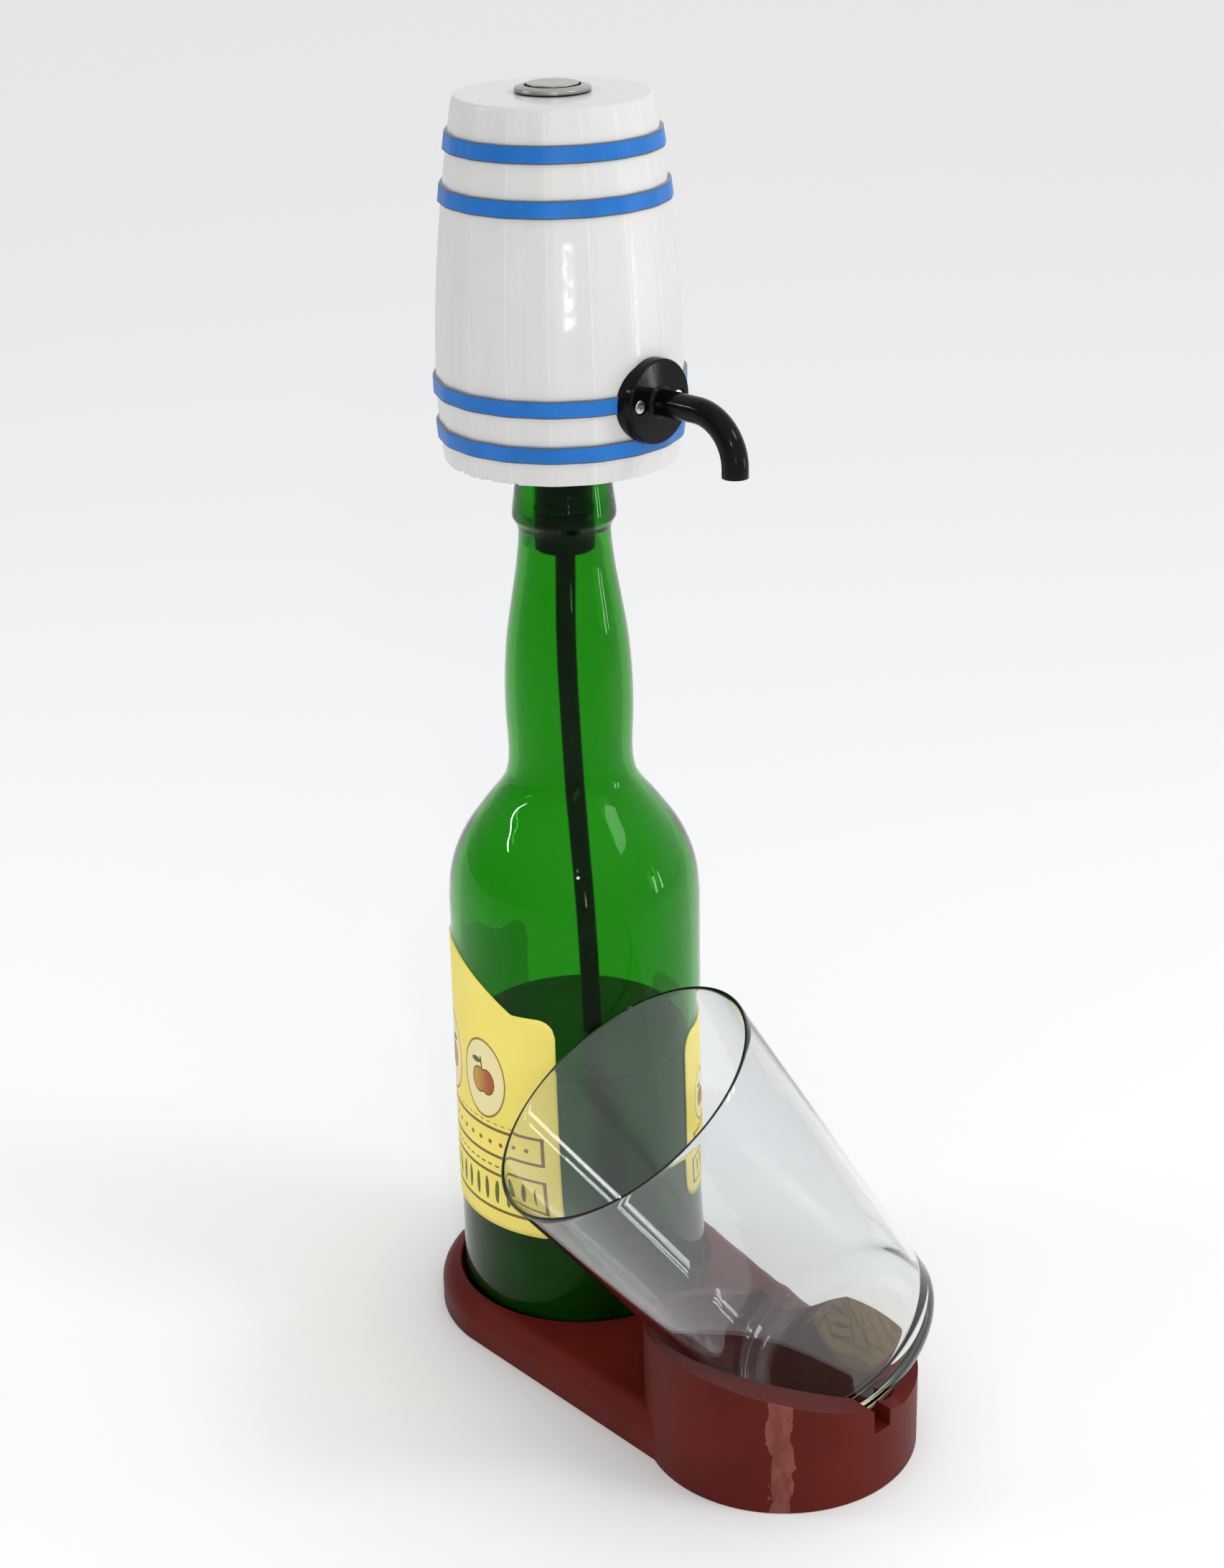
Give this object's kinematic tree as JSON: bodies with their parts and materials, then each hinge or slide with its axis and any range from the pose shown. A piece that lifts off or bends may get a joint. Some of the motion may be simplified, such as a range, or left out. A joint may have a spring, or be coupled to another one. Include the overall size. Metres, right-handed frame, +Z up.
{
  "type": "electric cider pourer",
  "caption": "Barrel-shaped electric pump head with a bent spout, plugged into a cider bottle that stands with a tilted glass in a shared stand.",
  "frame": {"origin": "on the stand's underside, below the bottle's axis", "axes": "+Z up along the bottle, +X along the stand from the bottle to the glass holder"},
  "size_m": [0.1916, 0.1284, 0.3994],
  "materials": {
    "brown_plastic": "satin printed plastic, dark red-brown",
    "green_glass": "clear green bottle glass",
    "clear_glass": "thin clear glass",
    "yellow_paper": "printed label paper, yellow",
    "white_plastic": "glossy white moulded plastic",
    "blue_plastic": "satin blue bands",
    "black_plastic": "gloss black plastic",
    "black_rubber": "black rubber",
    "clear_silicone": "translucent silicone hose",
    "grey_plastic": "grey engineering plastic",
    "steel": "brushed stainless steel",
    "brass": "plain brass",
    "magnet": "ferrite, dark grey",
    "copper_core": "laminated core with copper windings",
    "cell_wrap": "steel cell in a shrink wrap",
    "board_green": "green circuit board"
  },
  "bodies": {
    "stand": {"stand": "brown_plastic"},
    "bottle": {"bottle": "green_glass", "front_label": "yellow_paper", "back_label": "yellow_paper"},
    "glass": {"cider_glass": "clear_glass"},
    "neck_seals": {"stopper_seal_1": "black_rubber", "stopper_seal_2": "black_rubber"},
    "button": {"button_cap": "steel"},
    "rotor": {"motor_shaft": "steel", "armature": "copper_core", "drive_gear": "grey_plastic"},
    "driven": {"driven_gear": "grey_plastic"},
    "head": {"barrel_shell": "white_plastic", "hoop_1": "blue_plastic", "hoop_2": "blue_plastic", "hoop_3": "blue_plastic", "hoop_4": "blue_plastic", "bottom_cover": "white_plastic", "cover_screw_1": "steel", "cover_screw_2": "steel", "cover_screw_3": "steel", "stopper": "black_plastic", "stopper_nut": "black_plastic", "dip_tube": "black_plastic", "inlet_hose": "clear_silicone", "pump_body": "grey_plastic", "pump_cover": "grey_plastic", "pump_screw_1": "steel", "pump_screw_2": "steel", "pump_screw_3": "steel", "pump_screw_4": "steel", "shaft_seal": "black_rubber", "idler_pin": "steel", "motor_can": "steel", "motor_magnet_1": "magnet", "motor_magnet_2": "magnet", "motor_end_cap": "black_plastic", "motor_bush_1": "brass", "motor_bush_2": "brass", "outlet_hose": "clear_silicone", "spout": "black_plastic", "spout_screw_1": "steel", "spout_screw_2": "steel", "battery_cradle": "black_plastic", "battery_cell": "cell_wrap", "circuit_board": "board_green", "charging_socket": "steel", "button_bezel": "steel", "button_nut": "steel", "button_spring": "steel", "switch_body": "black_plastic", "switch_terminal_1": "brass", "switch_terminal_2": "brass"}
  },
  "joints": [
    {"name": "bottle_lift", "type": "slide", "parent": "stand", "child": "bottle", "axis": [0, 0, 1], "range_m": [0, 0.03]},
    {"name": "glass_lift", "type": "slide", "parent": "stand", "child": "glass", "axis": [-0.25, -0.5241, 0.8141], "range_m": [0, 0.07]},
    {"name": "head_pull", "type": "slide", "parent": "bottle", "child": "neck_seals", "axis": [0, 0, 1], "range_m": [0, 0.285]},
    {"name": "head_turn", "type": "hinge", "parent": "neck_seals", "child": "head", "pos_m": [0, 0, 0.28], "axis": [0, 0, 1], "continuous": true},
    {"name": "button_press", "type": "slide", "parent": "head", "child": "button", "axis": [0, 0, -1], "range_m": [0, 0.0025], "stiffness_N_per_m": 800, "springref_m": -0.001, "deforming": ["button_spring"]},
    {"name": "motor_spin", "type": "hinge", "parent": "head", "child": "rotor", "pos_m": [0.00891, -0.00475, 0.34], "axis": [0, 0, 1], "continuous": true},
    {"name": "driven_spin", "type": "hinge", "parent": "head", "child": "driven", "pos_m": [0.00688, 0.00739, 0.333], "axis": [0, 0, 1], "continuous": true}
  ],
  "couplings": [
    {"joint": "driven_spin", "follows": "motor_spin", "ratio": -1}
  ]
}
